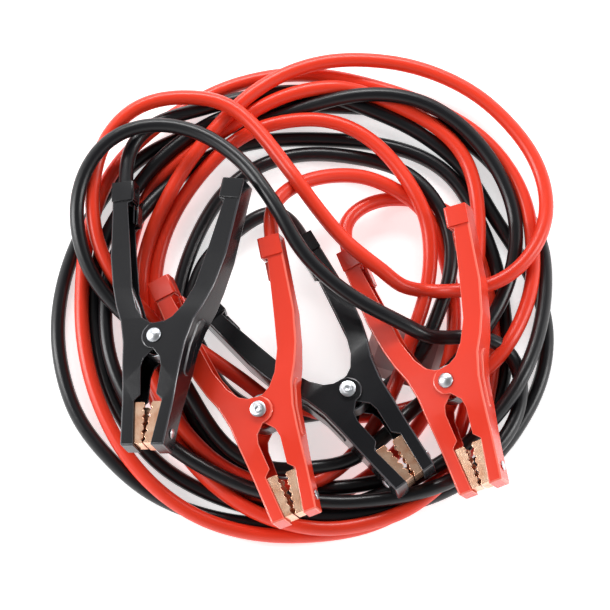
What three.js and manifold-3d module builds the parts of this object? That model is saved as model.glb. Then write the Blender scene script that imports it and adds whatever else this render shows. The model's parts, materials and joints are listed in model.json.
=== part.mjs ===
// A coiled set of car jumper cables: two separate leads, one red and one black, wound together
// into one round coil. Each lead ends in two large spring clamps of pressed steel, one at each end,
// and the four clamps lie on the coil. Millimetres, +Z up, the coil lies on the floor.
import * as THREE from 'three';
import { mergeVertices } from 'three/addons/utils/BufferGeometryUtils.js';
import Module from 'manifold-3d';

const wasm = await Module();
wasm.setup();

// Sheet metal and running clearances
const sheet = 1.4;
const copper = 1.2;
const clearance = 0.35;

// Lead
const cordDiameter = 9.2;
const cordRadius = cordDiameter / 2;

// Clamp, seen from above with the jaws at -Y: plan of one half
const jawLength = 70;
const handleLength = 104;
const tipHalfWidth = 14.5;
const shoulderHalfWidth = 18.2;
const waistHalfWidth = 21;
const bendHalfWidth = 24.5;
const elbowHalfWidth = 34;
const gripHalfWidth = 38.6;
const endHalfWidth = 44;
const handleWidth = 13.4;
const crotchHeight = 8.8;
const keyholeTop = 11;
const keyholeHalfWidth = 7;
const jawEdgeGap = 6;
const jawEdgeTop = 9.5;
const copperLength = 27;

// Places along the clamp, from the pivot
const jawRivetPlace = 10 - jawLength;
const jawFlatEnd = 28 - jawLength;
const jawNotch = 29 - jawLength;
const keyholeEnd = 33 - jawLength;
const shoulderPlace = 40 - jawLength;
const deepFrom = -17;
const waistPlace = -4;
const bendPlace = 10;
const deepTo = 12;
const elbowPlace = 34;
const gripPlace = 54;
const shallowFrom = 60;

// Clamp, seen from the side: half depth of the outer channel
const pivotHalfDepth = 11.6;
const jawHalfDepth = 8.6;
const endHalfDepth = cordRadius + 2 * clearance + 2 * sheet;
const nest = sheet + clearance;

// Pivot rivet and its spring
const rivetRadius = 3.2;
const rivetHeadRadius = 4.7;
const rivetHeadHeight = 2.2;
const earRadius = 8.6;
const wireDiameter = 2.2;
const wireRadius = wireDiameter / 2;
const springRadius = 11;
const springPitch = 2.7;
const springTurns = 3.5;
const legReach = 48;

// Jaw rivets and the rib on the web
const jawRivetRadius = 1.8;
const jawRivetHeadRadius = 3.1;
const jawRivetHeadHeight = 1.1;
const ribLength = 36;
const ribHalfDepth = 4.4;
const ribHeight = 0.8;
const ribPlace = waistPlace;

// Folded tabs that close the end of each handle
const tabLength = 12;
const tabGap = 1.2;
const tabOverlap = 2;
const notchDepth = 3;

// Teeth of the copper jaws
const toothPitch = 5;
const toothDepth = 1.3;
const toothMouth = 2.2;

// Coil: turns three deep below the jaws and nearly flat at the other side
const coilInnerRadius = 112;
const coilOuterRadius = 153;
const coilHeight = 19;
const coilSlope = 7;
const coilEdge = 7;

// Bare card that lies in the coil
const cardLength = 48;
const cardWidth = 40;
const cardThickness = 0.8;

// Helpers for solids

function toSolid(geometry) {
  const source = geometry.index ? geometry.toNonIndexed() : geometry.clone();
  source.deleteAttribute('normal');
  source.deleteAttribute('uv');
  const merged = mergeVertices(source, 1e-4);
  const mesh = new wasm.Mesh({
    numProp: 3,
    vertProperties: new Float32Array(merged.attributes.position.array),
    triVerts: new Uint32Array(merged.index.array),
  });
  return new wasm.Manifold(mesh);
}

function toGeometry(solid) {
  const mesh = solid.getMesh();
  const geometry = new THREE.BufferGeometry();
  geometry.setAttribute('position', new THREE.BufferAttribute(mesh.vertProperties, 3));
  geometry.setIndex(new THREE.BufferAttribute(mesh.triVerts, 1));
  geometry.computeVertexNormals();
  return geometry;
}

// A flat outline given as [x, y] points, as thick as the space from low to high along Z
function plate(points, low, high) {
  const shape = new THREE.Shape(points.map(([x, y]) => new THREE.Vector2(x, y)));
  const geometry = new THREE.ExtrudeGeometry(shape, { depth: high - low, bevelEnabled: false });
  geometry.translate(0, 0, low);
  return toSolid(geometry);
}

// An outline given as [y, z] points, as wide as the space from left to right along X
function sidePlate(points, left, right) {
  const shape = new THREE.Shape(points.map(([y, z]) => new THREE.Vector2(y, z)));
  const geometry = new THREE.ExtrudeGeometry(shape, { depth: right - left, bevelEnabled: false });
  const turn = new THREE.Matrix4().makeBasis(
    new THREE.Vector3(0, 1, 0), new THREE.Vector3(0, 0, 1), new THREE.Vector3(1, 0, 0));
  geometry.applyMatrix4(turn);
  geometry.translate(left, 0, 0);
  return toSolid(geometry);
}

function rod(radius, length, sides, matrix) {
  const geometry = new THREE.CylinderGeometry(radius, radius, length, sides);
  geometry.rotateX(Math.PI / 2);
  if (matrix) {
    geometry.applyMatrix4(matrix);
  }
  return toSolid(geometry);
}

// Moves a line of [x, y] points, which runs up along +Y, by a distance to its left (-X)
function shifted(points, distance) {
  return points.map((point, i) => {
    const before = points[Math.max(i - 1, 0)];
    const after = points[Math.min(i + 1, points.length - 1)];
    const first = unit(before, i === 0 ? after : point);
    const last = unit(i === points.length - 1 ? before : point, after);
    const normal = [-(first[1] + last[1]) / 2, (first[0] + last[0]) / 2];
    const scale = distance / (normal[0] ** 2 + normal[1] ** 2);
    return [point[0] + normal[0] * scale, point[1] + normal[1] * scale];
  });
}

function unit(from, to) {
  const length = Math.hypot(to[0] - from[0], to[1] - from[1]);
  return [(to[0] - from[0]) / length, (to[1] - from[1]) / length];
}

// Outer edge of the half on the +X side, from the jaw tip to the end of the handle
const outerEdge = [
  [tipHalfWidth, -jawLength],
  [shoulderHalfWidth, shoulderPlace],
  [waistHalfWidth, waistPlace],
  [bendHalfWidth, bendPlace],
  [(bendHalfWidth + elbowHalfWidth) / 2 + 0.3, (bendPlace + elbowPlace) / 2 - 1],
  [elbowHalfWidth, elbowPlace],
  [gripHalfWidth, gripPlace],
  [endHalfWidth, handleLength],
];

// Where the outer edge lies at a place along the clamp
function edgeAt(line, y) {
  const last = line.length - 2;
  let i = 0;
  while (i < last && line[i + 1][1] < y) {
    i += 1;
  }
  const share = (y - line[i][1]) / (line[i + 1][1] - line[i][1]);
  return line[i][0] + share * (line[i + 1][0] - line[i][0]);
}

// Half depth of a channel along the clamp: deep at the pivot, shallow at jaws and handle end
function sideProfile(inset, reach = 0) {
  const jaw = jawHalfDepth - inset;
  const pivot = pivotHalfDepth - inset;
  const end = endHalfDepth - inset;
  const upper = [
    [-jawLength - reach, jaw],
    [jawFlatEnd, jaw],
    [deepFrom, pivot],
    [deepTo, pivot],
    [elbowPlace - 2, (pivot + 3 * end) / 4 + 0.2],
    [shallowFrom, end],
    [handleLength + reach, end],
  ];
  const lower = upper.map(([y, z]) => [y, -z]).reverse();
  return [...lower, ...upper];
}

// Flat outline of a cheek, with its round ear, the keyhole edge and the jaw edge
function cheekOutline() {
  const ear = [];
  for (let degrees = 88; degrees <= 272; degrees += 23) {
    const angle = THREE.MathUtils.degToRad(degrees);
    ear.push([earRadius * Math.cos(angle), earRadius * Math.sin(angle)]);
  }
  const tabTop = handleLength - tabLength;
  const inner = (y) => edgeAt(outerEdge, y) - handleWidth;
  return [
    ...outerEdge,
    [inner(handleLength), handleLength],
    [inner(tabTop), tabTop],
    [inner(tabTop) + notchDepth, tabTop - tabGap],
    [inner(gripPlace), gripPlace],
    [inner(elbowPlace) + 0.6, elbowPlace],
    [elbowHalfWidth - handleWidth - 5, 20],
    [elbowHalfWidth - handleWidth - 10.6, 12.2],
    [5, crotchHeight + 0.5],
    ...ear,
    [2.5, -keyholeTop],
    [keyholeHalfWidth - 1.3, -keyholeTop - 3.4],
    [keyholeHalfWidth, -keyholeTop - 9],
    [keyholeHalfWidth - 1.5, keyholeEnd],
    [jawEdgeTop, jawNotch],
    [jawEdgeGap, -jawLength],
  ];
}

const rivetFrame = (() => {
  const slope = (edgeAt(outerEdge, jawRivetPlace + 5) - edgeAt(outerEdge, jawRivetPlace - 5)) / 10;
  const outward = new THREE.Vector3(1, -slope, 0).normalize();
  const along = new THREE.Vector3(-outward.y, outward.x, 0);
  const across = new THREE.Vector3().crossVectors(outward, along);
  const frame = new THREE.Matrix4().makeBasis(along, across, outward);
  frame.setPosition(edgeAt(outerEdge, jawRivetPlace), jawRivetPlace, 0);
  return frame;
})();

// One pressed half on the +X side: a channel with its web outside, open towards the other half
function pressedHalf(inset) {
  const wide = 60;
  const deep = pivotHalfDepth + 5;
  const outside = plate(cheekOutline(), -deep, deep)
    .intersect(sidePlate(sideProfile(inset), -wide, wide));
  const innerFace = shifted(outerEdge, sheet);
  const tipFace = -jawLength + sheet;
  const hollowPlan = [
    [-wide, tipFace],
    [edgeAt(innerFace, tipFace), tipFace],
    ...innerFace.slice(1, -1),
    [edgeAt(innerFace, handleLength + 10), handleLength + 10],
    [-wide, handleLength + 10],
  ];
  const hollow = plate(hollowPlan, -deep, deep)
    .intersect(sidePlate(sideProfile(inset + sheet, 20), -wide, wide));
  let half = outside.subtract(hollow);
  half = half.add(endTab(inset, handleLength - tabLength, handleLength, 1));
  half = half.add(endTab(inset, handleLength - 2 * tabLength - tabGap,
    handleLength - tabLength - tabGap, -1));
  half = half.add(webRib());
  half = half.subtract(rod(rivetRadius + clearance, 4 * deep, 20));
  half = half.subtract(rod(jawRivetRadius + clearance, 12, 12, rivetFrame));
  return half;
}

// A tab folded from one cheek across the open side, past the middle of the handle
function endTab(inset, low, high, side) {
  const inner = (y) => edgeAt(outerEdge, y) - handleWidth;
  const plan = [
    [inner(low), low],
    [inner(low) + sheet, low],
    [inner(high) + sheet, high],
    [inner(high), high],
  ];
  const deep = endHalfDepth + 3;
  const reach = side > 0 ? [-tabOverlap, deep] : [-deep, tabOverlap];
  const wide = 60;
  const fold = [
    [inner(low), low],
    [inner(low) + notchDepth + 2, low],
    [inner(high) + notchDepth + 2, high],
    [inner(high), high],
  ];
  const root = side > 0 ? [endHalfDepth - inset - sheet, deep] : [-deep, -endHalfDepth + inset + sheet];
  const body = plate(plan, reach[0], reach[1]).add(plate(fold, root[0], root[1]));
  return body.intersect(sidePlate(sideProfile(inset), -wide, wide));
}

// A long oval rib pressed out of the web beside the pivot
function webRib() {
  const line = outerEdge.filter(([, y]) => y > -jawLength && y < elbowPlace);
  const plan = [...shifted(line, 0.4), ...shifted(line, -ribHeight).reverse()];
  const oval = [];
  const straight = ribLength / 2 - ribHalfDepth;
  for (let step = 0; step < 12; step += 1) {
    const angle = (step / 12) * 2 * Math.PI;
    const side = Math.cos(angle) >= 0 ? 1 : -1;
    oval.push([ribPlace + side * straight + ribHalfDepth * Math.cos(angle),
      ribHalfDepth * Math.sin(angle)]);
  }
  return plate(plan, -ribHalfDepth, ribHalfDepth).intersect(sidePlate(oval, 0, 60));
}

// Copper jaw on the +X side: a small toothed channel with a closed tip, inside the steel one
function copperJaw(inset) {
  const wide = 60;
  const deep = pivotHalfDepth + 5;
  const seat = sheet + clearance;
  const back = shifted(outerEdge, seat);
  const tip = -jawLength + seat;
  const top = tip + copperLength;
  const teeth = [];
  const count = Math.floor((copperLength - 2) / toothPitch);
  for (let tooth = 0; tooth < count; tooth += 1) {
    const low = top - 1 - tooth * toothPitch;
    const line = (y) => clearance + toothMouth * (y - tip) / copperLength;
    teeth.push([line(low), low], [line(low - 2), low - 2]);
    teeth.push([line(low - 3.2) + toothDepth, low - 3.2]);
  }
  const outline = [
    [edgeAt(back, tip), tip],
    [edgeAt(back, top), top],
    [clearance + toothMouth + 0.8, top],
    ...teeth,
    [clearance, tip],
  ];
  const solid = plate(outline, -deep, deep).intersect(sidePlate(sideProfile(inset + seat), -wide, wide));
  const inside = [
    [-wide, tip + copper],
    [edgeAt(back, tip + copper) - copper, tip + copper],
    [edgeAt(back, top + 5) - copper, top + 5],
    [-wide, top + 5],
  ];
  const hollow = plate(inside, -deep, deep)
    .intersect(sidePlate(sideProfile(inset + seat + copper), -wide, wide));
  return solid.subtract(hollow).subtract(rod(jawRivetRadius + clearance, 16, 12, rivetFrame));
}

// A rivet turned about Z: shank, and a head at each end that sits a clearance off what it holds
function rivet(radius, headRadius, headHeight, low, high, segments) {
  const profile = [
    [0, low - headHeight],
    [headRadius * 0.6, low - headHeight * 0.85],
    [headRadius, low - headHeight * 0.3],
    [headRadius, low],
    [radius, low],
    [radius, high],
    [headRadius, high],
    [headRadius, high + headHeight * 0.3],
    [headRadius * 0.6, high + headHeight * 0.85],
    [0, high + headHeight],
  ].map(([r, z]) => new THREE.Vector2(r, z));
  const geometry = new THREE.LatheGeometry(profile, segments);
  geometry.rotateX(Math.PI / 2);
  return toGeometry(toSolid(geometry));
}

// A round tube swept along a list of points
function tube(points, radius, sides, steps) {
  const section = new THREE.Shape();
  for (let side = 0; side < sides; side += 1) {
    const angle = ((side + 0.5) / sides) * 2 * Math.PI;
    const x = radius * Math.cos(angle);
    const y = radius * Math.sin(angle);
    if (side === 0) {
      section.moveTo(x, y);
    } else {
      section.lineTo(x, y);
    }
  }
  section.closePath();
  const path = new THREE.CatmullRomCurve3(points.map((point) => new THREE.Vector3(...point)), false,
    'centripetal');
  return new THREE.ExtrudeGeometry(section, { steps, bevelEnabled: false, extrudePath: path });
}

// The torsion spring: a leg in the fixed handle, the coil about the rivet, a leg in the free one
function springGeometry() {
  const seat = (y) => edgeAt(outerEdge, y) - sheet - clearance - wireRadius - 1.2;
  const rise = springTurns * springPitch;
  const legEnd = rise / 2 - 1.8;
  const points = [[-seat(legReach), legReach, -legEnd], [-seat(legReach / 2) + 7, legReach / 2, -rise / 2]];
  const stepsPerTurn = 12;
  const steps = springTurns * stepsPerTurn;
  for (let step = 0; step <= steps; step += 1) {
    const angle = Math.PI + (step / stepsPerTurn) * 2 * Math.PI;
    points.push([springRadius * Math.cos(angle), springRadius * Math.sin(angle),
      -rise / 2 + (step / steps) * rise]);
  }
  points.push([seat(legReach / 2) - 7, legReach / 2, rise / 2], [seat(legReach), legReach, legEnd]);
  return tube(points, wireRadius, 6, 62);
}

// Finishes

function finish(color, roughness, metalness) {
  return new THREE.MeshStandardMaterial({ color, roughness, metalness });
}

const blackPaint = finish(0x1c1b1e, 0.35, 0);
const redPaint = finish(0xd8291c, 0.35, 0);
const zinc = finish(0xb9bcc0, 0.3, 1);
const springSteel = finish(0x8d9096, 0.4, 1);
const copperPlate = finish(0xd29a68, 0.35, 1);
const blackJacket = finish(0x18181b, 0.5, 0);
const redJacket = finish(0xd92c1e, 0.5, 0);
const cardStock = finish(0xe8e6e2, 0.7, 0);

function piece(name, geometry, material) {
  const mesh = new THREE.Mesh(geometry, material);
  mesh.name = name;
  return mesh;
}

// One clamp. The half with the lead is fixed on the -X side, the free half swings on the +X side.
// Its channel is the wider one, so its ears lie over those of the fixed half.
function clamp(name, paint) {
  const group = new THREE.Group();
  const mirror = new THREE.Group();
  mirror.scale.x = -1;
  group.add(piece(`${name}_free_handle`, toGeometry(pressedHalf(0)), paint));
  group.add(piece(`${name}_free_jaw`, toGeometry(copperJaw(0)), copperPlate));
  mirror.add(piece(`${name}_lead_handle`, toGeometry(pressedHalf(nest)), paint));
  mirror.add(piece(`${name}_lead_jaw`, toGeometry(copperJaw(nest)), copperPlate));
  const low = -(sheet + clearance + copper + clearance);
  const freeRivet = piece(`${name}_free_jaw_rivet`,
    rivet(jawRivetRadius, jawRivetHeadRadius, jawRivetHeadHeight, low, clearance, 12), zinc);
  freeRivet.applyMatrix4(rivetFrame);
  group.add(freeRivet);
  const leadRivet = piece(`${name}_lead_jaw_rivet`, freeRivet.geometry.clone(), zinc);
  leadRivet.applyMatrix4(rivetFrame);
  mirror.add(leadRivet);
  const shank = pivotHalfDepth + clearance;
  group.add(piece(`${name}_pivot_rivet`,
    rivet(rivetRadius, rivetHeadRadius, rivetHeadHeight, -shank, shank, 20), zinc));
  group.add(piece(`${name}_spring`, springGeometry(), springSteel));
  group.add(mirror);
  return group;
}

// Where each clamp lies, from the middle of the coil: place of its pivot, the way its handles
// point, how far its +X side is rolled up and how far its jaws are pitched up, in degrees
const clampPlaces = [
  { name: 'black_clamp_1', paint: blackPaint, mirrored: false,
    pivot: [-87, -37, 48.2], heading: 83.2, roll: 20, pitch: 6 },
  { name: 'red_clamp_1', paint: redPaint, mirrored: true,
    pivot: [-23.4, -80.5, 40.7], heading: 106.8, roll: 16, pitch: 5 },
  { name: 'black_clamp_2', paint: blackPaint, mirrored: true,
    pivot: [29, -66.5, 27.7], heading: 125.5, roll: 1, pitch: 10.5 },
  { name: 'red_clamp_2', paint: redPaint, mirrored: false,
    pivot: [91, -61, 37.2], heading: 105.9, roll: 19, pitch: 4 },
];

function placed(group, { pivot, heading, roll, pitch }) {
  group.position.set(...pivot);
  group.rotation.order = 'ZXY';
  group.rotation.z = THREE.MathUtils.degToRad(heading - 90);
  group.rotation.x = THREE.MathUtils.degToRad(-pitch);
  group.rotation.y = THREE.MathUtils.degToRad(-roll);
  return group;
}

const model = new THREE.Group();
const clamps = new THREE.Group();
const clampGroups = {};
clampPlaces.forEach((place) => {
  const group = clamp(place.name, place.paint);
  group.scale.x = place.mirrored ? -1 : 1;
  clampGroups[place.name] = placed(group, place);
  clamps.add(group);
});
model.add(clamps);

// The lowest clamp stands on the floor with the ends of its handles
const lowest = clampGroups.black_clamp_2;
lowest.position.z -= new THREE.Box3().setFromObject(lowest, true).min.z;

// The coil: one ring of the outer shape of all turns, thicker under the jaws
function coilGeometry() {
  const top = coilHeight;
  const profile = [
    [coilInnerRadius + coilEdge, 0],
    [coilOuterRadius - coilEdge, 0],
    [coilOuterRadius, coilEdge],
    [coilOuterRadius, top - coilEdge],
    [coilOuterRadius - coilEdge, top],
    [coilInnerRadius + coilEdge, top],
    [coilInnerRadius, top - coilEdge],
    [coilInnerRadius, coilEdge],
    [coilInnerRadius + coilEdge, 0],
  ].map(([r, z]) => new THREE.Vector2(r, z));
  const geometry = new THREE.LatheGeometry(profile, 48);
  geometry.rotateX(Math.PI / 2);
  const positions = geometry.attributes.position;
  for (let i = 0; i < positions.count; i += 1) {
    const height = coilHeight - coilSlope * positions.getY(i) / coilOuterRadius;
    positions.setZ(i, positions.getZ(i) * height / coilHeight);
  }
  return toGeometry(toSolid(geometry));
}

model.add(piece('coil', coilGeometry(), blackJacket));

// Leads where they aren't coiled. Each end starts inside the handle that holds it, and comes out
// straight. All points are measured from the middle of the coil, at floor height.
const leadRoutes = {
  black_lead_1_end: {
    from: 'black_clamp_1',
    points: [
      [-106.6, 100.3, 20.6], [-97.3, 108.8, 20], [-82.5, 114.7, 19.6], [-63.9, 118.6, 19.4],
      [-44, 121.2, 19.2], [-25.4, 123.8, 19],
    ],
  },
  red_lead_1_end: {
    from: 'red_clamp_1',
    points: [
      [-11.2, 54.3, 39], [-1.9, 65.5, 33], [10.5, 74.1, 25], [26, 78.6, 17.5],
      [41.5, 77.3, 15.4], [57, 70.2, 15.4], [69.4, 58.9, 14.5], [78.7, 45, 9], [85.6, 29.4, 5],
      [94.2, 13.3, 5], [104.2, 3.7, 5],
    ],
  },
  black_lead_2_end: {
    from: 'black_clamp_2',
    points: [
      [0.6, 52.6, 7], [-6.8, 60.1, 5.4], [-17.4, 63.4, 5], [-27.9, 60.8, 5], [-37.2, 53.1, 5],
      [-46.5, 43.5, 5], [-57.7, 35.1, 5], [-71.3, 29.4, 5], [-85.6, 25.5, 5], [-97.3, 23, 5],
    ],
  },
  red_lead_2_end: {
    from: 'red_clamp_2',
    points: [
      [29.8, 34.2, 18], [31.6, 44, 15.2], [37.2, 53.2, 9.5], [46.5, 61.3, 5.6], [58.3, 65.3, 5],
      [71.3, 64, 5], [83.7, 58.3, 5], [94.2, 48.6, 5], [100.4, 38.4, 5],
    ],
  },
  black_loop: {
    points: [
      [-68.8, 105.3, 23.6], [-56.4, 98.2, 28.5], [-44, 87.2, 36], [-32.2, 73.2, 45],
      [-23.6, 58.9, 50.5], [-13.6, 43, 52.2], [-5.6, 27.3, 51.2], [3.1, 15.5, 47.2],
      [13.6, 6.5, 42.5], [24.2, -1.5, 38.6], [32.2, -7.3, 39], [39.7, -12.2, 40.4],
      [46.5, -16.2, 41], [53.3, -18.9, 39], [59.5, -20.8, 34], [65.7, -22.4, 27],
      [73.2, -24.6, 21.8], [82.5, -26.2, 20.8], [91.1, -26.5, 22], [101.1, -25.7, 23.5],
      [112.2, -23.4, 24.8], [124, -19.9, 25.8],
    ],
  },
  red_loop: {
    points: [
      [-66.3, 125.5, 29.6], [-50.8, 122.9, 29.6], [-37.2, 114.1, 29], [-26, 102.4, 27],
      [-14.3, 87, 24.5], [-3.7, 72.9, 22], [6.2, 60.2, 17], [15.5, 49.7, 10.4], [23.6, 40.7, 6],
      [31.6, 32.6, 4.9], [41.5, 24.2, 5], [53.9, 17.2, 5], [67.6, 11.1, 6.2], [81.2, 6.7, 10.5],
      [94.9, 4, 16], [107.9, 3.7, 21.6], [123.4, 8, 25],
    ],
  },
  red_chord: {
    points: [
      [-100.4, -3.3, 4.8], [-90.5, -7.8, 4.8], [-78.1, -18.7, 4.8], [-60.8, -32.2, 4.7],
      [-39.1, -46.9, 4.7], [-16.7, -58.5, 4.7], [7.4, -66.8, 4.7], [34.1, -71.3, 4.8],
      [60.1, -69.4, 4.8], [81.2, -62.4, 4.8], [91.8, -57.2, 4.8],
    ],
  },
};
const leadSides = 8;
const stepLength = 2.6 * cordDiameter;
const insertion = [handleLength - 34, handleLength - 16, handleLength, handleLength + 12];

// Points along the middle of the handle that holds the lead, in the coil's frame
function handlePoints(name) {
  const group = clampGroups[name];
  group.updateMatrix();
  const end = outerEdge.length - 1;
  const slope = (outerEdge[end][0] - outerEdge[end - 1][0]) / (outerEdge[end][1] - outerEdge[end - 1][1]);
  return insertion.map((along) => {
    const across = endHalfWidth + slope * (along - handleLength) - handleWidth / 2;
    return new THREE.Vector3(-across, along, 0).applyMatrix4(group.matrix).toArray();
  });
}

Object.entries(leadRoutes).forEach(([name, route]) => {
  const points = route.from ? [...handlePoints(route.from), ...route.points] : route.points;
  const path = new THREE.CatmullRomCurve3(points.map((point) => new THREE.Vector3(...point)), false,
    'centripetal');
  const steps = Math.round(path.getLength() / stepLength);
  const jacket = name.startsWith('red') ? redJacket : blackJacket;
  model.add(piece(name, tube(points, cordRadius, leadSides, steps), jacket));
});

// The card lies flat inside the coil, under one of the clamps
const card = piece('blank_card', new THREE.BoxGeometry(cardLength, cardWidth, cardThickness), cardStock);
card.position.set(64, -31.5, cardThickness / 2);
card.rotation.z = THREE.MathUtils.degToRad(-17);
model.add(card);

// Origin: on the floor under the middle of the four clamps together
clamps.updateMatrixWorld(true);
const clampBox = new THREE.Box3().setFromObject(clamps, true);
const middle = clampBox.getCenter(new THREE.Vector3());
model.position.set(-middle.x, -middle.y, 0);

export default model;
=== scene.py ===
import json
import math

import bmesh
import bpy
import numpy as np
from mathutils import Matrix, Vector
from mathutils.bvhtree import BVHTree


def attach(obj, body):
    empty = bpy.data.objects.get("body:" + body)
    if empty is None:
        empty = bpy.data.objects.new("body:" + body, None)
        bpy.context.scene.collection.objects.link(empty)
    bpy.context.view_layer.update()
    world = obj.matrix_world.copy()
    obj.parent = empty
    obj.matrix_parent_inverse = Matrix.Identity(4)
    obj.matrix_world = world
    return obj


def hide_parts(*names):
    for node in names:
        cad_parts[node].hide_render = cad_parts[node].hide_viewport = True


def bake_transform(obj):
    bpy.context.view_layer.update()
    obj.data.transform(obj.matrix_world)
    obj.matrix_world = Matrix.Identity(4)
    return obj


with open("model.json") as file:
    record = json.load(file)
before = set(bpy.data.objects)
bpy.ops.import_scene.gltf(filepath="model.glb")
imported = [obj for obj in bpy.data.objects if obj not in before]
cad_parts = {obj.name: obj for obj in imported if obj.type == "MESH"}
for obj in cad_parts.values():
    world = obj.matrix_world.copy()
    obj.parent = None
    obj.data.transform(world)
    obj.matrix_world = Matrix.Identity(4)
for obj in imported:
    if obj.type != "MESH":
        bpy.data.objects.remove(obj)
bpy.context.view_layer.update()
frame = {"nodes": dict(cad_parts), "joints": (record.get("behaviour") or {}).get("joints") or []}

# The picture: a coiled set of leads on a plain pale floor, seen from steeply above in even,
# soft studio light. The camera stands far off, so the set is drawn almost without perspective.
picture_width = 0.3782
camera_elevation = math.radians(75)
camera_distance = 3.0
camera_aim = Vector((-0.0023, 0.0364, 0.014))
camera_data = bpy.data.cameras.new("camera")
camera_data.sensor_width = 36
camera_data.lens = camera_data.sensor_width * camera_distance / picture_width
camera_data.clip_start = 0.1
camera = bpy.data.objects.new("camera", camera_data)
bpy.context.collection.objects.link(camera)
camera.location = camera_aim + camera_distance * Vector(
    (0, -math.cos(camera_elevation), math.sin(camera_elevation)))
camera.rotation_euler = (math.pi / 2 - camera_elevation, 0, 0)
bpy.context.scene.camera = camera

bpy.ops.object.select_all(action="DESELECT")
bpy.ops.mesh.primitive_plane_add(size=6)
floor = bpy.context.object
floor.name = "floor"
floor_paint = bpy.data.materials.new("pale floor")
floor_paint.use_nodes = True
floor_look = floor_paint.node_tree.nodes["Principled BSDF"]
floor_look.inputs["Base Color"].default_value = (0.93, 0.93, 0.93, 1)
floor_look.inputs["Roughness"].default_value = 0.9
floor_look.inputs["Specular IOR Level"].default_value = 0.1
floor_look.inputs["Emission Color"].default_value = (1, 1, 1, 1)
floor_look.inputs["Emission Strength"].default_value = 0.6
floor.data.materials.append(floor_paint)

world = bpy.data.worlds.new("studio")
bpy.context.scene.world = world
world.use_nodes = True
sky = world.node_tree.nodes["Background"]
sky.inputs["Strength"].default_value = 1.0
sky_place = world.node_tree.nodes.new("ShaderNodeTexCoord")
sky_height = world.node_tree.nodes.new("ShaderNodeSeparateXYZ")
sky_tones = world.node_tree.nodes.new("ShaderNodeValToRGB")
sky_tones.color_ramp.elements[0].position = 0.35
sky_tones.color_ramp.elements[0].color = (1, 1, 1, 1)
sky_tones.color_ramp.elements[1].position = 0.85
sky_tones.color_ramp.elements[1].color = (0.12, 0.12, 0.12, 1)
world.node_tree.links.new(sky_place.outputs["Generated"], sky_height.inputs["Vector"])
world.node_tree.links.new(sky_height.outputs["Z"], sky_tones.inputs["Fac"])
world.node_tree.links.new(sky_tones.outputs["Color"], sky.inputs["Color"])
for name, place, size, power in [
        ("window behind", (-0.3, 2.3, 1.7), (2.0, 0.5), 52),
        ("window left", (-2.2, 0.3, 1.1), (0.4, 2.0), 36),
        ("window right", (2.3, 0.0, 1.5), (0.4, 1.6), 26)]:
    panel_data = bpy.data.lights.new(name, "AREA")
    panel_data.shape = "RECTANGLE"
    panel_data.size, panel_data.size_y = size
    panel_data.energy = power
    panel = bpy.data.objects.new(name, panel_data)
    bpy.context.collection.objects.link(panel)
    panel.location = place
    panel.rotation_euler = (camera_aim - Vector(place)).to_track_quat("-Z", "Y").to_euler()
bpy.context.scene.view_settings.view_transform = "Standard"


# The two leads: stranded copper in a soft vinyl jacket 9.2 mm thick, one black and one red,
# wound together by hand into a loose coil. Each was followed in the picture, so its places are
# counted there from left and from top; after a place may stand the least height of the lead
# in millimetres. Each stretch starts with its layer, from the floor up.
lead_diameter = 0.0092
lead_radius = lead_diameter / 2
layer_height = 0.005
clamp_clearance = 0.0003
bend_clearance = 0.0011
free_from = 12
picture_step = 0.00062
picture_middle = (303, 298)
coil_middle = Vector((-0.003547, 0.040856, 0))
route_height = 0.012
sample_length = 0.005

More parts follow.
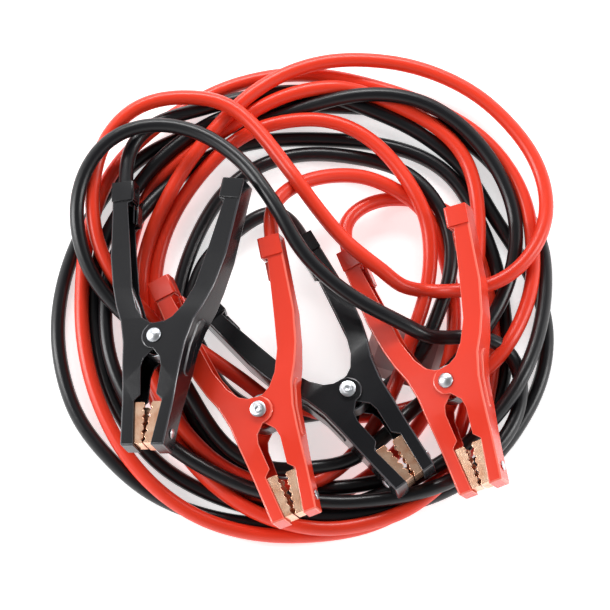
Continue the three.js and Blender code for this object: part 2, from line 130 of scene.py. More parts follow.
red_route = [
    (3, [
        (276.7, 260.7, 42.8), (272.4, 239.6, 42), (269.5, 221, 41), (273, 204, 38),
        (286, 190, 32.5), (303, 181, 26.5), (323, 176, 21), (347, 174, 16), (371, 177, 12.5),
        (393, 187, 9),]),
    (1, [
        (415, 200), (432, 219), (444, 246), (452, 280), (455, 312), (453, 345), (443, 380),
        (425, 415), (400, 448), (365, 478), (323, 500), (280, 505), (240, 492), (208, 466),
        (183, 430), (168, 390), (158, 345), (152, 305), (153, 265),]),
    (6, [
        (165, 228), (183, 195), (206, 165), (232, 140), (262, 123), (300, 115), (335, 119),
        (365, 133), (392, 158), (413, 188), (427, 218), (431, 250), (429, 280), (422, 308),]),
    (2, [
        (412, 335), (400, 368), (385, 405), (365, 440), (338, 468), (300, 484), (258, 483),
        (222, 466), (190, 436), (164, 398), (146, 355), (133, 310), (127, 270), (132, 236),
        (142, 208), (158, 180), (180, 155),]),
    (4, [
        (208, 132), (240, 111), (270, 97), (300, 89), (330, 87), (362, 92), (400, 105), (430, 120),
        (453, 138), (470, 163), (478, 195), (480, 235), (478, 280),]),
    (2, [
        (475, 325), (472, 370), (465, 410), (452, 450),]),
    (1, [
        (433, 482), (403, 508), (365, 525), (313, 533), (262, 532), (210, 519), (165, 493),
        (128, 455), (104, 413), (89, 370), (82, 325), (82, 285),]),
    (3, [
        (84, 250), (92, 215), (106, 178), (130, 147), (158, 122), (190, 102), (222, 86), (255, 76),
        (290, 71), (330, 73), (370, 82), (410, 95), (450, 115), (485, 140), (510, 172), (526, 206),
        (533, 245),]),
    (5, [
        (532, 285), (520, 322), (500, 355),]),
    (3, [
        (476, 377), (451, 391),]),
    (2, [
        (434, 399), (400, 410), (358, 413), (315, 406), (276, 393), (240, 375), (205, 352),]),
    (4, [
        (177, 333), (152, 317), (130, 296), (110, 271), (98, 245),]),
    (7, [
        (92, 215), (92, 180), (100, 147), (117, 120), (140, 103), (168, 96), (196, 96), (221, 100),
        (243, 114), (261, 133), (280, 158), (297, 181, 24), (313, 203, 28), (328, 222, 31),
        (341, 238, 32.5), (354, 251, 32), (370, 264, 29.5), (390, 275, 26), (412, 284, 22.5),
        (434, 289, 20), (456, 291, 19.5), (477, 289, 21.6), (502, 280, 25),]),
    (7, [
        (525, 262, 24), (541, 236, 22), (548, 207), (544, 177), (531, 148), (510, 121), (482, 95),
        (449, 76),]),
    (5, [
        (412, 63), (370, 57), (330, 58), (295, 67), (265, 82), (240, 102), (218, 125), (194, 152),
        (170, 188), (155, 220), (147, 245),]),
    (2, [
        (141, 275), (140, 305), (143, 345), (152, 390), (172, 430), (198, 466), (235, 497),
        (280, 517), (330, 525), (380, 515), (425, 492), (458, 460), (480, 420), (492, 378),
        (497, 335), (495, 295), (488, 262),]),
    (1, [
        (474, 233), (455, 213), (432, 202), (412, 198), (392, 197, 5), (372, 201, 6),
        (355, 210, 9.5), (344, 223, 13.5), (343.5, 238, 16.5), (349.1, 252.5, 17.7),
        (357.5, 272.2, 19.2),]),
]
black_route = [
    (4, [
        (125.1, 207.7, 26.5), (125.5, 186.8, 24.5), (125, 170, 23), (127, 153, 20.5),
        (136, 136, 17), (151, 124, 12.5), (172, 116, 9), (200, 111), (232, 105), (262, 98),]),
    (3, [
        (300, 92), (335, 96), (370, 107), (405, 122), (440, 145), (467, 172),]),
    (2, [
        (485, 202), (502, 228), (519, 253), (535, 283), (546, 317), (547, 352), (538, 388),
        (520, 422), (494, 456), (455, 484), (410, 503), (360, 513), (310, 514), (255, 506),
        (200, 488), (157, 461), (127, 425), (108, 388), (97, 345), (92, 300), (97, 260),
        (110, 225),]),
    (3, [
        (128, 200), (146, 176), (170, 153), (200, 133), (232, 118), (266, 108), (300, 103),
        (340, 103), (385, 108),]),
    (2, [
        (430, 118), (465, 134), (495, 160), (515, 190), (530, 215), (542, 240),]),
    (4, [
        (546, 278), (541, 322), (528, 362), (508, 398), (480, 430), (445, 457), (405, 478),]),
    (1, [
        (365, 497), (320, 514), (262, 522), (205, 514), (150, 491), (108, 455), (79, 418),
        (63, 375), (57, 330), (62, 285), (75, 245), (92, 212), (113, 180), (143, 153),]),
    (3, [
        (178, 135), (215, 122), (250, 117), (282, 114),]),
    (5, [
        (312, 104), (345, 93), (380, 91), (420, 98), (452, 115), (481, 142), (502, 172),
        (515, 205), (518, 238), (513, 268),]),
    (4, [
        (503, 298), (487, 326),]),
    (3, [
        (465, 352), (435, 383), (402, 415), (363, 443), (318, 463), (275, 468), (238, 455),
        (212, 428), (192, 395), (172, 362), (148, 337),]),
    (9, [
        (125, 315), (107, 297), (90, 272), (79, 240), (76, 205), (84, 172), (103, 144), (130, 128),
        (162, 124), (192, 130, 23.6), (212, 139, 28.5), (232, 153, 36), (251, 171, 45),
        (265, 191, 50.5), (281, 215, 52.2), (294, 240, 51.2), (308, 260, 47.2), (325, 276, 42.5),
        (342, 290, 38.6), (355, 299, 39), (367, 306, 40.4), (378, 312, 41), (389, 317, 39),
        (399, 322, 34), (409, 327.5, 27), (421, 333, 21.8), (436, 336, 20.8), (450, 336, 22),
        (466, 335, 23.5), (486, 338, 20),]),
    (3, [
        (506, 347), (517, 366), (521, 392), (514, 419), (495, 447), (464, 470), (425, 488),
        (375, 497), (325, 499), (275, 492), (222, 474), (172, 445), (134, 408), (112, 364),
        (105, 320), (108, 280), (119, 245),]),
    (3, [
        (140, 213), (165, 185), (195, 163), (228, 147), (262, 139), (300, 137), (340, 138),
        (385, 143), (425, 155), (455, 175),]),
    (2, [
        (473, 205), (484, 245), (494, 290), (503, 335), (503, 378), (490, 415), (465, 448),
        (425, 472), (375, 484), (325, 488), (275, 482), (230, 462), (200, 430), (184, 390),
        (176, 345), (177, 300),]),
    (3, [
        (186, 262), (200, 228), (220, 195), (245, 172), (275, 158), (310, 152), (350, 155),
        (385, 162), (412, 174), (432, 194), (446, 220), (452, 250),]),
    (2, [
        (448, 285), (436, 318), (424, 348),]),
    (1, [
        (405, 372), (375, 396), (335, 410), (292, 416), (250, 408), (220, 385), (203, 350),
        (196, 315), (195, 283, 5),]),
    (1, [
        (205, 260, 5), (225, 240, 5), (245, 224, 5), (261, 213, 5), (276, 209, 5), (288, 215, 6),
        (297.1, 229, 7.9), (303.3, 239.6, 9.4), (314.2, 257.4, 11.9),]),
]


def place_of(left, top, height):
    """The place over the floor that the picture shows at left and top, at a known height."""
    across = (left - picture_middle[0]) * picture_step
    along = (picture_middle[1] - top) * picture_step
    along -= (height - camera_aim.z) * math.cos(camera_elevation)
    return across + coil_middle.x, along / math.sin(camera_elevation) + coil_middle.y


def smooth_line(points, step):
    """A smooth line through the points (centripetal Catmull-Rom), sampled at even steps."""
    points = np.vstack([2 * points[0] - points[1], points, 2 * points[-1] - points[-2]])
    line = []
    for a, b, c, d in zip(points, points[1:], points[2:], points[3:]):
        times = [0.0]
        for first, last in ((a, b), (b, c), (c, d)):
            times.append(times[-1] + max(np.linalg.norm((last - first)[:2]), 1e-6) ** 0.5)
        t0, t1, t2, t3 = times
        count = max(2, int(np.linalg.norm((c - b)[:2]) / 0.001))
        for t in np.linspace(t1, t2, count, endpoint=False):
            ab = a + (b - a) * (t - t0) / (t1 - t0)
            bc = b + (c - b) * (t - t1) / (t2 - t1)
            cd = c + (d - c) * (t - t2) / (t3 - t2)
            abc = ab + (bc - ab) * (t - t0) / (t2 - t0)
            bcd = bc + (cd - bc) * (t - t1) / (t3 - t1)
            line.append(abc + (bcd - abc) * (t - t1) / (t2 - t1))
    line.append(points[-2])
    line = np.array(line)
    along = np.r_[0, np.cumsum(np.linalg.norm(np.diff(line[:, :2], axis=0), axis=1))]
    even = np.linspace(0, along[-1], int(along[-1] / step) + 1)
    return np.stack([np.interp(even, along, column) for column in line.T], 1)


def traced(route):
    """Samples of one lead: place, least height, height it was traced at, layer of its stretch."""
    points = []
    for layer, stretch in route:
        for left, top, *height in stretch:
            least = height[0] / 1000 if height else lead_radius
            seen = height[0] / 1000 if height else route_height
            points.append((*place_of(left, top, seen), least, seen, layer))
    points = np.array(points)
    line = smooth_line(points[:, :4], sample_length)
    nearest = []
    start = 0
    for point in points:
        window = line[start:start + 40, :2]
        start += int(np.argmin(np.linalg.norm(window - point[:2], axis=1)))
        nearest.append(start)
    return np.c_[line, np.interp(np.arange(len(line)), nearest, points[:, 4])]


# what the leads must stay clear of: the clamps as they lie, and the free halves as they open
all_corners = []
all_faces = []
for name, node in frame["nodes"].items():
    if "clamp" not in name or name.endswith("spring"):
        continue
    turns = [Matrix.Identity(4)]
    for joint in frame["joints"]:
        if "_free_" in name and name.startswith(joint["name"].removesuffix("_opens")):
            pivot = Matrix.Translation(joint["pos_m"])
            for degrees in (8, 16, 25):
                opened = Matrix.Rotation(math.radians(degrees), 4, Vector(joint["axis"]))
                turns.append(pivot @ opened @ pivot.inverted())
    for turn in turns:
        start = len(all_corners)
        all_corners += [turn @ node.matrix_world @ vertex.co for vertex in node.data.vertices]
        all_faces += [tuple(start + i for i in face.vertices) for face in node.data.polygons]
clamp_tree = BVHTree.FromPolygons(all_corners, all_faces)

traces = [traced(red_route), traced(black_route)]
samples = np.vstack(traces)
lead_of = np.repeat([0, 1], [len(trace) for trace in traces])
index_of = np.concatenate([np.arange(len(trace)) for trace in traces])
from_end = np.concatenate([
    np.minimum(np.arange(len(trace)), len(trace) - 1 - np.arange(len(trace))) for trace in traces])
home = samples[:, :2].copy()
least_height = samples[:, 2].copy()
traced_height = samples[:, 3].copy()
layer_of = samples[:, 4]
place = samples[:, :3].copy()
held = least_height > lead_radius + 0.0002

# start heights: by layer, but below any clamp that lies over the place
for i in range(len(place)):
    if held[i]:
        continue
    top = 0.2
    for dx, dy in ((0, 0), (1, 0), (-1, 0), (0, 1), (0, -1)):
        origin = Vector((place[i, 0] + dx * lead_radius, place[i, 1] + dy * lead_radius, -0.001))
        hit = clamp_tree.ray_cast(origin, Vector((0, 0, 1)), 0.2)
        if hit[0] is not None:
            top = min(top, hit[0].z)
    by_layer = lead_radius + (layer_of[i] - 1) * layer_height
    place[i, 2] = max(lead_radius, min(by_layer, top - lead_radius - 0.0005))

firm = np.clip(1.15 - 0.15 * layer_of, 0.15, 1.0)
firm[from_end < 10] = 0.0
contact = 0.97 * lead_diameter


def inner_samples(reach):
    """The samples that have so many neighbours of their own lead on either side."""
    inner = np.zeros(len(place), bool)
    for lead in (0, 1):
        which = np.where(lead_of == lead)[0]
        inner[which[reach:len(which) - reach]] = True
    return np.where(inner)[0]


neighbours = {reach: inner_samples(reach) for reach in (1, 2, 3, 5)}
# laid down: weight, stiffness, and what touches is pushed apart, a little in every round
rounds = 520
for step in range(rounds):
    if step % 12 == 0:
        gap = np.linalg.norm(place[:, None, :2] - place[None, :, :2], axis=2)
        first, second = np.where(gap < lead_diameter + 0.003)
        keep = first < second
        apart_along = np.abs(index_of[first] - index_of[second])
        keep &= (lead_of[first] != lead_of[second]) | (apart_along > 6)
        first, second = first[keep], second[keep]
        swap = layer_of[first] < layer_of[second] - 1e-6
        upper = np.where(swap, second, first)
        lower = np.where(swap, first, second)
        direction = np.zeros((len(place), 2))
        direction[1:-1] = place[2:, :2] - place[:-2, :2]
        direction /= np.maximum(np.linalg.norm(direction, axis=1), 1e-9)[:, None]
        crossing = np.abs(direction[upper, 0] * direction[lower, 1]
                          - direction[upper, 1] * direction[lower, 0]) > 0.35
    # weight
    fall = 0.00012 if step < rounds * 0.7 else 0.00003
    place[:, 2] -= fall * (from_end >= 6)
    # stiffness up and down
    change = np.zeros(len(place))
    for k, m in neighbours.items():
        change[m] += 0.13 * ((place[m - k, 2] + place[m + k, 2]) / 2 - place[m, 2])
    place[:, 2] += change
    # stiffness to the sides: what it moves away from its traced place is spread along it
    target = home.copy()
    target[:, 1] -= (place[:, 2] - traced_height) / math.tan(camera_elevation)
    moved = place[:, :2] - target
    m = neighbours[2]
    spread = (moved[m - 2] + moved[m - 1] + moved[m + 1] + moved[m + 2]) / 4 - moved[m]
    place[m, :2] += 0.5 * spread
    place[:, :2] -= 0.03 * (place[:, :2] - target)
    for _ in range(3):
        apart = place[upper] - place[lower]
        flat = np.linalg.norm(apart[:, :2], axis=1)
        ordered = crossing | (flat < 0.45 * lead_diameter)
        rise = apart[:, 2]
        wanted = np.sqrt(np.maximum(contact ** 2 - flat ** 2, 0))
        push = np.zeros_like(apart)
        # crossings: the upper one is lifted, the lower one pressed
        act = ordered & (rise < wanted)
        push[act, 2] = np.minimum(wanted - rise, 0.0015)[act]
        # side by side: pushed straight apart
        size = np.linalg.norm(apart, axis=1)
        side = ~ordered & (size < contact)
        push[side] = (apart * ((contact - size) / np.maximum(size, 1e-9))[:, None])[side]
        give = np.stack([firm[upper], firm[upper], np.ones(len(upper))], 1)
        give_low = np.stack([firm[lower], firm[lower], np.ones(len(lower))], 1)
        total = np.maximum(give + give_low, 1e-6)
        move = np.zeros_like(place)
        count = np.zeros(len(place))
        active = act | side
        np.add.at(move, upper[active], (push * give / total)[active])
        np.add.at(move, lower[active], (-push * give_low / total)[active])
        np.add.at(count, upper[active], 1)
        np.add.at(count, lower[active], 1)
        place += move / np.maximum(count * 0.5, 1)[:, None]
        place[:, 2] = np.maximum(place[:, 2], least_height)
    if step % 5 == 4:
        for i in range(len(place)):
            if from_end[i] < free_from:
                continue
            hit = clamp_tree.find_nearest(Vector(place[i]), lead_radius + clamp_clearance)
            if hit[0] is not None and hit[3] > 1e-5:
                away = (place[i] - np.array(hit[0])) / hit[3]
                place[i] += away * (lead_radius + clamp_clearance - hit[3])
        place[:, 2] = np.maximum(place[:, 2], lead_radius)

# last, the leads are smoothed and cleared of the clamps in gentle bends, not sample by sample
for step in range(18):
    m = neighbours[1]
    m = m[from_end[m] > 3]
    if step < 6:
        place[m] += 0.5 * ((place[m - 1] + place[m + 1]) / 2 - place[m])
    away = np.zeros_like(place)
    for i in np.where(from_end >= free_from)[0]:
        hit = clamp_tree.find_nearest(Vector(place[i]), lead_radius + bend_clearance)
        if hit[0] is not None and hit[3] > 1e-5:
            outward = (place[i] - np.array(hit[0])) / hit[3]
            away[i] = outward * (lead_radius + bend_clearance - hit[3])
    m = neighbours[5]
    bend = away.copy()
    for k, share in ((1, 0.8), (2, 0.5), (3, 0.25)):
        for other in (m - k, m + k):
            larger = np.linalg.norm(away[other], axis=1) * share > np.linalg.norm(bend[m], axis=1)
            bend[m[larger]] = away[other[larger]] * share
    place += 0.7 * bend
    place[:, 2] = np.maximum(place[:, 2], lead_radius)

jackets = {}
for name, base_color in (("red", (0.79, 0.041, 0.0145, 1)), ("black", (0.006, 0.006, 0.0075, 1))):
    vinyl = bpy.data.materials.new(name + " vinyl")
    vinyl.use_nodes = True
    vinyl_look = vinyl.node_tree.nodes["Principled BSDF"]
    vinyl_look.inputs["Base Color"].default_value = base_color
    vinyl_look.inputs["Roughness"].default_value = 0.32
    jackets[name] = vinyl

leads = {}
for lead, name in enumerate(("red", "black")):
    centre = place[lead_of == lead]
    curve = bpy.data.curves.new(name + "_lead", "CURVE")
    curve.dimensions = "3D"
    curve.bevel_depth = lead_radius
    curve.bevel_resolution = 3
    curve.resolution_u = 3
    curve.use_fill_caps = True
    spline = curve.splines.new("BEZIER")
    spline.bezier_points.add(len(centre) - 1)
    for point, where in zip(spline.bezier_points, centre):
        point.co = where
        point.handle_left_type = "AUTO"
        point.handle_right_type = "AUTO"
    curve.materials.append(jackets[name])
    leads[name] = bpy.data.objects.new(name + "_lead", curve)
    bpy.context.collection.objects.link(leads[name])

for lead, name in enumerate(("red", "black")):
    centre = place[lead_of == lead]
    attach(leads[name], "set_on_the_floor")
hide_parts("red_lead_1_end", "red_lead_2_end", "red_loop", "red_chord")
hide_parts("coil", "black_lead_1_end", "black_lead_2_end", "black_loop")


# The eight pressed halves: each is one piece of 1.4 mm steel sheet, folded into a channel that is
# open towards the other half, and dipped in thick glossy paint. The solids of the part are taken
# as they are, their folds are rounded, and the rounded edges carry a lighter painted highlight.
sheet = 0.0014
fold_radius = 0.0011
rim_radius = 0.0004
clamp_places = {
    "black_clamp_1": (83.2, 20, 6, 1),
    "red_clamp_1": (106.8, 16, 5, -1),
    "black_clamp_2": (125.5, 1, 10.5, -1),
    "red_clamp_2": (105.9, 19, 4, 1),
}
clamp_frames = {}
for joint in frame["joints"]:
    clamp = joint["name"].removesuffix("_opens")
    heading, roll, pitch, side = clamp_places[clamp]
    clamp_frames[clamp] = (
        Matrix.Translation(joint["pos_m"])
        @ Matrix.Rotation(math.radians(heading - 90), 4, "Z")
        @ Matrix.Rotation(math.radians(-pitch), 4, "X")
        @ Matrix.Rotation(math.radians(-roll), 4, "Y")
        @ Matrix.Diagonal((side, 1, 1, 1)))

# thick paint: a faint orange-peel over the flat faces
skin = bpy.data.node_groups.new("dipped skin", "ShaderNodeTree")
skin.interface.new_socket("Waves", in_out="INPUT", socket_type="NodeSocketFloat")
skin.interface.new_socket("Depth", in_out="INPUT", socket_type="NodeSocketFloat")
skin.interface.new_socket("Normal", in_out="OUTPUT", socket_type="NodeSocketVector")
skin_in = skin.nodes.new("NodeGroupInput")
skin_out = skin.nodes.new("NodeGroupOutput")
skin_place = skin.nodes.new("ShaderNodeTexCoord")
skin_noise = skin.nodes.new("ShaderNodeTexNoise")
skin_noise.inputs["Detail"].default_value = 2
skin_bump = skin.nodes.new("ShaderNodeBump")
skin_bump.inputs["Distance"].default_value = 0.0004
skin.links.new(skin_place.outputs["Object"], skin_noise.inputs["Vector"])
skin.links.new(skin_in.outputs["Waves"], skin_noise.inputs["Scale"])
skin.links.new(skin_in.outputs["Depth"], skin_bump.inputs["Strength"])
skin.links.new(skin_noise.outputs["Fac"], skin_bump.inputs["Height"])
skin.links.new(skin_bump.outputs["Normal"], skin_out.inputs["Normal"])


def dipped(name, base_color, roughness, waves, depth, coat=0.0):
    """A glossy finish on a thick dipped layer; returns the material."""
    made = bpy.data.materials.new(name)
    made.use_nodes = True
    look = made.node_tree.nodes["Principled BSDF"]
    look.inputs["Base Color"].default_value = base_color
    look.inputs["Roughness"].default_value = roughness
    look.inputs["Coat Weight"].default_value = coat
    look.inputs["Coat Roughness"].default_value = 0.08
    layer = made.node_tree.nodes.new("ShaderNodeGroup")
    layer.node_tree = skin
    layer.inputs["Waves"].default_value = waves
    layer.inputs["Depth"].default_value = depth
    made.node_tree.links.new(layer.outputs["Normal"], look.inputs["Normal"])
    return made


paints = {
    "black": dipped("black paint", (0.007, 0.007, 0.0085, 1), 0.2, 140, 0.12, 0.15),
    "red": dipped("red paint", (0.75, 0.038, 0.014, 1), 0.26, 140, 0.12, 0.2),
}
# lighter colours for the rounded edges: a painted highlight along the rims and folds
edges = {
    "black": dipped("black paint with painted edge highlight", (0.045, 0.045, 0.05, 1), 0.16, 140, 0.08, 0.5),
    "red": dipped("red paint with painted edge highlight", (0.90, 0.16, 0.11, 1), 0.18, 140, 0.08, 0.5),
}


def carrier(clamp, half_name):
    """The body that a clamp's half moves with."""
    return "set_on_the_floor" if half_name == "lead" else f"{clamp}_free_half"


def only(piece):
    """Selects one piece and makes it the active one."""
    bpy.ops.object.select_all(action="DESELECT")
    piece.select_set(True)
    bpy.context.view_layer.objects.active = piece


def taken(name, new_name):
    """A merged copy of a solid of the part, free of its body, with flat faces made whole."""
    source = frame["nodes"][name]
    piece = source.copy()
    piece.data = source.data.copy()
    piece.name = new_name
    piece.parent = None
    for key in list(piece.keys()):
        del piece[key]
    piece.data.materials.clear()
    bpy.context.collection.objects.link(piece)
    only(piece)
    bpy.ops.object.mode_set(mode="EDIT")
    bpy.ops.mesh.select_all(action="SELECT")
    bpy.ops.mesh.remove_doubles(threshold=0.000002)
    bpy.ops.mesh.dissolve_limited(angle_limit=math.radians(0.2))
    bpy.ops.object.mode_set(mode="OBJECT")
    return piece


def rounded(piece, width, segments, material=-1, by_weight=False):
    """Rounds the edges of a piece and shades it smooth between them."""
    only(piece)
    bevel = piece.modifiers.new("rounding", "BEVEL")
    bevel.width = width
    bevel.segments = segments
    bevel.limit_method = "WEIGHT" if by_weight else "ANGLE"
    bevel.angle_limit = math.radians(32)
    bevel.use_clamp_overlap = False
    bevel.material = material
    bevel.harden_normals = False
    bpy.ops.object.modifier_apply(modifier=bevel.name)
    bpy.ops.object.shade_smooth_by_angle(angle=math.radians(40))
    flat = piece.modifiers.new("flat faces", "WEIGHTED_NORMAL")
    flat.keep_sharp = True
    bpy.ops.object.modifier_apply(modifier=flat.name)


for clamp, clamp_frame in clamp_frames.items():
    colour = clamp.split("_")[0]
    inward = clamp_frame.inverted()
    for half_name in ("lead", "free"):
        half = taken(f"{clamp}_{half_name}_handle", f"{clamp}_{half_name}_half")
        # slot 1 holds the lighter edge colour, the painted highlight put on the faces the rounding
        # adds
        half.data.materials.append(paints[colour])
        half.data.materials.append(edges[colour])
        mesh = bmesh.new()
        mesh.from_mesh(half.data)
        weight = mesh.edges.layers.float.new("bevel_weight_edge")
        turn = inward.to_3x3()
        for edge in mesh.edges:
            if len(edge.link_faces) != 2 or edge.calc_face_angle(0) < math.radians(24):
                continue
            middle = inward @ ((edge.verts[0].co + edge.verts[1].co) / 2)
            normals = [(turn @ face.normal).normalized() for face in edge.link_faces]
            cheek = any(abs(n.z) > 0.8 and n.z * middle.z > 0 for n in normals)
            web = any(n.x * middle.x > 0.8 * abs(middle.x) for n in normals)
            tip = any(n.y < -0.8 for n in normals) and middle.y < -0.06
            long = edge.calc_length() > 0.0015
            fold = long and edge.is_convex and ((cheek and (web or tip)) or (web and tip))
            edge[weight] = 1.0 if fold else rim_radius / fold_radius
        mesh.to_mesh(half.data)
        mesh.free()
        # the new rounded faces take slot 1, the painted edge highlight
        rounded(half, fold_radius, 3, material=1, by_weight=True)
        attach(half, carrier(clamp, half_name))
        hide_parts(f"{clamp}_{half_name}_handle")


# The ends of the handles: two tabs of the same sheet are folded round the lead one behind the
# other, the upper one over the face, and stand a little proud of the channel. On two of the
# handles the lower tab is folded less tightly and reaches out past the channel.
handle_end = 0.104
strap_length = 0.0128
strap_wall = 0.0012
strap_proud = 0.0011
handle_width = 0.0134
end_half_depth = 0.0081
nest = 0.00175
end_edge = 0.044
grip_edge, grip_place = 0.0386, 0.054
loose_tabs = (("black_clamp_1", "lead"), ("red_clamp_1", "free"))
edge_inset = 0.0007
tab_gap = 0.0009
always_open = ((0, 1, 0), (0, -1, 0), (1, 0, 0))
handle_lean = math.atan2(end_edge - grip_edge, handle_end - grip_place)


def strap(name, low, high, left, right, back, front, open_sides, clamp_frame):
    """A folded tab on the lead's side of a clamp, open on the sides that its fold leaves free."""
    bpy.ops.object.select_all(action="DESELECT")
    middle = Vector(((left + right) / 2, (low + high) / 2, (back + front) / 2))
    bpy.ops.mesh.primitive_cube_add(size=1, location=(0, 0, 0))
    piece = bpy.context.object
    piece.name = name
    bpy.ops.object.mode_set(mode="EDIT")
    bpy.ops.transform.resize(value=(right - left, high - low, front - back))
    bpy.ops.mesh.select_all(action="DESELECT")
    bpy.ops.mesh.select_mode(type="FACE")
    shell = bmesh.from_edit_mesh(piece.data)
    for face in shell.faces:
        face.select_set(any(face.normal.dot(Vector(side)) > 0.9 for side in open_sides))
    bmesh.update_edit_mesh(piece.data)
    bpy.ops.mesh.delete(type="FACE")
    bpy.ops.mesh.select_mode(type="EDGE")
    bpy.ops.mesh.select_all(action="SELECT")
    shell = bmesh.from_edit_mesh(piece.data)
    for edge in shell.edges:
        edge.select_set(len(edge.link_faces) == 2)
    bmesh.update_edit_mesh(piece.data)
    bpy.ops.mesh.bevel(offset=0.0018, segments=3, affect="EDGES")
    bpy.ops.object.mode_set(mode="OBJECT")
    wall = piece.modifiers.new("wall", "SOLIDIFY")
    wall.thickness = strap_wall
    wall.offset = -1
    bpy.ops.object.modifier_apply(modifier=wall.name)
    rounded(piece, 0.00035, 2)
    lean = Matrix.Rotation(-handle_lean, 4, "Z")
    piece.data.transform(Matrix.Translation(middle) @ lean)
    piece.data.transform(clamp_frame)
    return piece


for clamp, clamp_frame in clamp_frames.items():
    colour = clamp.split("_")[0]
    for half_name, side, inset in (("free", 1, 0), ("lead", -1, nest)):
        half_frame = clamp_frame @ Matrix.Diagonal((side, 1, 1, 1))
        depth = end_half_depth - inset + strap_proud
        edge_line = end_edge - edge_inset
        inner = edge_line - handle_width
        upper = strap(f"{clamp}_{half_name}_upper_strap", handle_end - strap_length + 0.0006,
                      handle_end + 0.0006, inner - 0.0010, edge_line + 0.0002,
                      -0.002, depth, (*always_open, (0, 0, -1)), half_frame)
        lower_inner = inner - (0.0018 if (clamp, half_name) in loose_tabs else -0.0016)
        lower_end = handle_end - strap_length - tab_gap
        lower = strap(f"{clamp}_{half_name}_lower_strap", lower_end - strap_length,
                      lower_end, lower_inner - 0.0022, lower_inner + 0.0066,
                      -depth + strap_proud, 0.002, (*always_open, (0, 0, 1)), half_frame)
        for piece in (upper, lower):
            if half_frame.determinant() < 0:
                piece.data.flip_normals()
            piece.data.materials.append(paints[colour])
            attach(piece, carrier(clamp, half_name))


# The copper-plated jaws: small toothed channels of thin steel, plated and left bright, riveted
# inside the tips. The plating is rosy with darker, browner places where it was handled.
copper = bpy.data.materials.new("copper plating")
copper.use_nodes = True
copper_look = copper.node_tree.nodes["Principled BSDF"]
copper_look.inputs["Metallic"].default_value = 1.0
copper_look.inputs["Roughness"].default_value = 0.24
copper_place = copper.node_tree.nodes.new("ShaderNodeTexCoord")
copper_noise = copper.node_tree.nodes.new("ShaderNodeTexNoise")
copper_noise.inputs["Scale"].default_value = 160
copper_noise.inputs["Detail"].default_value = 4
copper_tones = copper.node_tree.nodes.new("ShaderNodeValToRGB")
copper_tones.color_ramp.elements[0].position = 0.3
copper_tones.color_ramp.elements[0].color = (0.80, 0.40, 0.24, 1)
copper_tones.color_ramp.elements[1].position = 0.62
copper_tones.color_ramp.elements[1].color = (0.98, 0.64, 0.45, 1)
copper.node_tree.links.new(copper_place.outputs["Object"], copper_noise.inputs["Vector"])
copper.node_tree.links.new(copper_noise.outputs["Fac"], copper_tones.inputs["Fac"])
copper.node_tree.links.new(copper_tones.outputs["Color"], copper_look.inputs["Base Color"])
for clamp in clamp_frames:
    for half_name in ("lead", "free"):
        jaw = taken(f"{clamp}_{half_name}_jaw", f"{clamp}_{half_name}_plated_jaw")
        jaw.data.materials.append(copper)
        rounded(jaw, 0.00022, 2)
        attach(jaw, carrier(clamp, half_name))
        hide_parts(f"{clamp}_{half_name}_jaw")


# The rivets: zinc-plated steel. The outer two clamps have pivots with smooth domed heads, the
# inner two have tubular ones, rolled over on a flat washer. A small one holds each jaw.
zinc = bpy.data.materials.new("zinc plating")
zinc.use_nodes = True
zinc_look = zinc.node_tree.nodes["Principled BSDF"]
zinc_look.inputs["Base Color"].default_value = (0.66, 0.68, 0.71, 1)
zinc_look.inputs["Metallic"].default_value = 1.0
zinc_look.inputs["Roughness"].default_value = 0.36
pivot_depth = 0.01195
washer_radius, washer_height = 0.0050, 0.0006
tube_radius, tube_height, tube_hole = 0.0027, 0.0006, 0.0012
for clamp, clamp_frame in clamp_frames.items():
    pivot = taken(f"{clamp}_pivot_rivet", f"{clamp}_pivot")
    rounded(pivot, 0.0005, 3)
    if clamp in ("red_clamp_1", "black_clamp_2"):
        bpy.ops.object.select_all(action="DESELECT")
        bpy.ops.mesh.primitive_cylinder_add(vertices=40, radius=washer_radius, depth=washer_height,
                                            location=(0, 0, pivot_depth + 0.0022))
        washer = bpy.context.object
        bpy.ops.object.mode_set(mode="EDIT")
        bpy.ops.mesh.select_mode(type="FACE")
        bpy.ops.mesh.select_all(action="DESELECT")
        shell = bmesh.from_edit_mesh(washer.data)
        for face in shell.faces:
            face.select_set(face.normal.z > 0.9)
        bmesh.update_edit_mesh(washer.data)
        bpy.ops.mesh.inset(thickness=washer_radius - tube_radius)
        bpy.ops.mesh.extrude_region_move(TRANSFORM_OT_translate={"value": (0, 0, tube_height)})
        bpy.ops.mesh.inset(thickness=tube_radius - tube_hole)
        bpy.ops.mesh.extrude_region_move(TRANSFORM_OT_translate={"value": (0, 0, -0.0009)})
        bpy.ops.object.mode_set(mode="OBJECT")
        bpy.ops.object.transform_apply(location=True, rotation=True, scale=True)
        rounded(washer, 0.00025, 2)
        washer.data.transform(clamp_frame)
        if clamp_frame.determinant() < 0:
            washer.data.flip_normals()
        only(pivot)
        washer.select_set(True)
        bpy.ops.object.join()
    pivot.data.materials.clear()
    pivot.data.materials.append(zinc)
    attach(pivot, "set_on_the_floor")
    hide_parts(f"{clamp}_pivot_rivet")
    for half_name in ("lead", "free"):
        rivet = taken(f"{clamp}_{half_name}_jaw_rivet", f"{clamp}_{half_name}_small_rivet")
        rivet.data.materials.append(zinc)
        rounded(rivet, 0.0003, 2)
        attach(rivet, carrier(clamp, half_name))
        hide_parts(f"{clamp}_{half_name}_jaw_rivet")


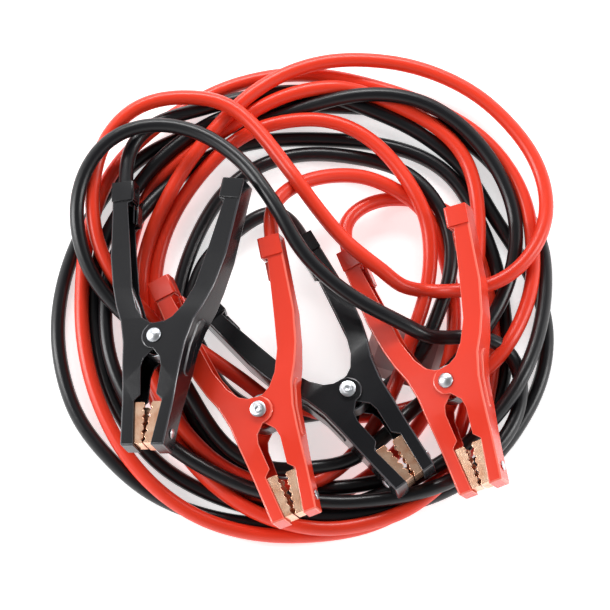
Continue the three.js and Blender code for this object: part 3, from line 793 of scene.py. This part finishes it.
# The springs: one length of 2.2 mm spring wire each, coiled three and a half times round the
# pivot, with a leg in each handle that pushes it outwards. Bare steel with a thin film of oil.
wire_radius = 0.0011
spring_radius = 0.011
spring_pitch = 0.0027
spring_turns = 3.5
leg_reach = 0.048
spring_steps = 28
wire_steel = bpy.data.materials.new("spring steel")
wire_steel.use_nodes = True
wire_look = wire_steel.node_tree.nodes["Principled BSDF"]
wire_look.inputs["Base Color"].default_value = (0.42, 0.43, 0.45, 1)
wire_look.inputs["Metallic"].default_value = 1.0
wire_look.inputs["Roughness"].default_value = 0.3
outer_edge = ((-0.060, 0.0167), (-0.030, 0.0182), (-0.004, 0.021), (0.010, 0.0245),
              (0.021, 0.02955), (0.034, 0.034), (0.054, 0.0386), (0.104, 0.044))


def seat(y):
    """How far from the middle the wire lies against the web, at a place along the clamp."""
    line = np.interp(y, [p[0] for p in outer_edge], [p[1] for p in outer_edge])
    return float(line) - sheet - 0.00035 - wire_radius - 0.0012


for clamp, clamp_frame in clamp_frames.items():
    rise = spring_turns * spring_pitch
    leg_end = rise / 2 - 0.0018
    wire_line = [(-seat(leg_reach), leg_reach, -leg_end),
                 (-seat(leg_reach / 2) + 0.007, leg_reach / 2, -rise / 2)]
    for turn_step in range(int(spring_turns * spring_steps) + 1):
        angle = math.pi + turn_step / spring_steps * 2 * math.pi
        share = turn_step / (spring_turns * spring_steps)
        wire_line.append((spring_radius * math.cos(angle), spring_radius * math.sin(angle),
                          -rise / 2 + share * rise))
    wire_line += [(seat(leg_reach / 2) - 0.007, leg_reach / 2, rise / 2),
                  (seat(leg_reach), leg_reach, leg_end)]
    wire = bpy.data.curves.new(f"{clamp}_wire", "CURVE")
    wire.dimensions = "3D"
    wire.bevel_depth = wire_radius
    wire.bevel_resolution = 2
    wire.resolution_u = 2
    wire.use_fill_caps = True
    wire_spline = wire.splines.new("BEZIER")
    wire_spline.bezier_points.add(len(wire_line) - 1)
    for point, where in zip(wire_spline.bezier_points, wire_line):
        point.co = clamp_frame @ Vector(where)
        point.handle_left_type = "AUTO"
        point.handle_right_type = "AUTO"
    spring = bpy.data.objects.new(f"{clamp}_wire_spring", wire)
    bpy.context.collection.objects.link(spring)
    only(spring)
    bpy.ops.object.convert(target="MESH")
    spring = bpy.context.object
    bpy.ops.object.shade_smooth()
    spring.data.materials.clear()
    spring.data.materials.append(wire_steel)
    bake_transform(spring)
    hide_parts(f"{clamp}_spring")


# The card that came with the set: plain coated board, left bare, with one pale grey block on it
# where such a card is printed. It lies flat on the floor inside the coil.
board = bpy.data.materials.new("coated board")
board.use_nodes = True
board_look = board.node_tree.nodes["Principled BSDF"]
board_look.inputs["Base Color"].default_value = (0.78, 0.78, 0.77, 1)
board_look.inputs["Roughness"].default_value = 0.45
block = bpy.data.materials.new("pale grey block")
block.use_nodes = True
block_look = block.node_tree.nodes["Principled BSDF"]
block_look.inputs["Base Color"].default_value = (0.50, 0.51, 0.52, 1)
block_look.inputs["Roughness"].default_value = 0.45
card = taken("blank_card", "bare_card")
card.data.materials.append(board)
card.data.materials.append(block)
bpy.ops.object.mode_set(mode="EDIT")
bpy.ops.mesh.select_mode(type="FACE")
bpy.ops.mesh.select_all(action="DESELECT")
shell = bmesh.from_edit_mesh(card.data)
for face in shell.faces:
    face.select_set(face.normal.z > 0.9)
bmesh.update_edit_mesh(card.data)
bpy.ops.mesh.inset(thickness=0.006)
shell = bmesh.from_edit_mesh(card.data)
for face in shell.faces:
    if face.select and face.normal.z > 0.9:
        face.material_index = 1
bmesh.update_edit_mesh(card.data)
bpy.ops.object.mode_set(mode="OBJECT")
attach(card, "set_on_the_floor")
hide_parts("blank_card")
